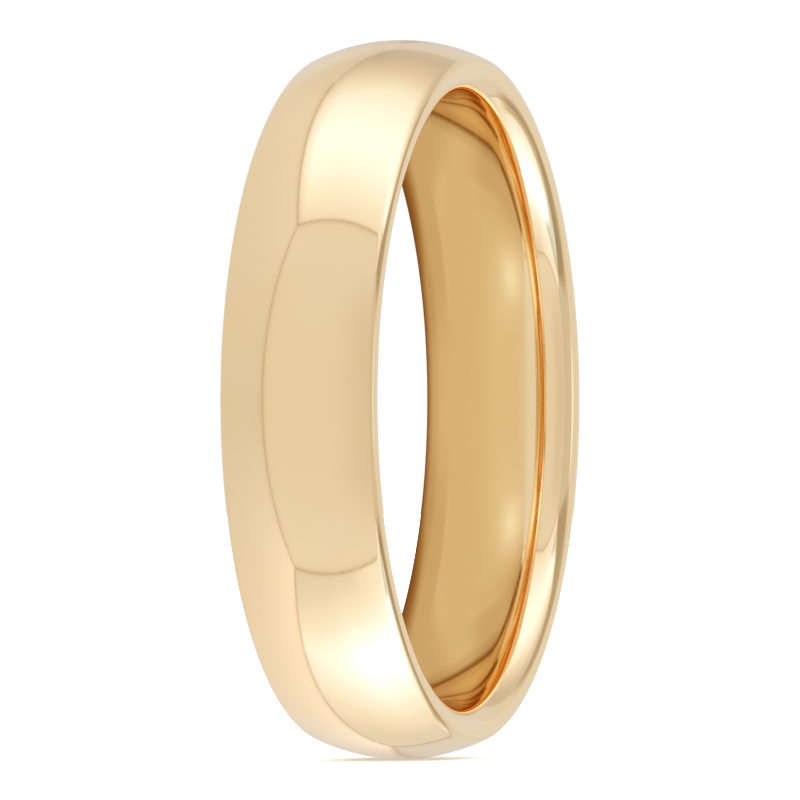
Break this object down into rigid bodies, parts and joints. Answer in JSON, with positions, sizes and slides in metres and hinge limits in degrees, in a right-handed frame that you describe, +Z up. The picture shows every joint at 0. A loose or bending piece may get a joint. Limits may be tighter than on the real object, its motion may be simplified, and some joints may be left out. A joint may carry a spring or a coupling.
{
  "type": "wedding band",
  "caption": "Plain polished yellow gold wedding band with a domed outside and a comfort-fit bore.",
  "frame": {"origin": "centre of the ring, in the middle of its bore", "axes": "+Y along the finger, +Z up through the crown with the band standing on edge, +X to the right seen from the front"},
  "size_m": [0.0224, 0.005, 0.0224],
  "materials": {
    "yellow_gold": "mirror-polished 14-carat yellow gold, with the bore a little softer than the dome"
  },
  "bodies": {
    "root": {"band": "yellow_gold"}
  },
  "joints": []
}
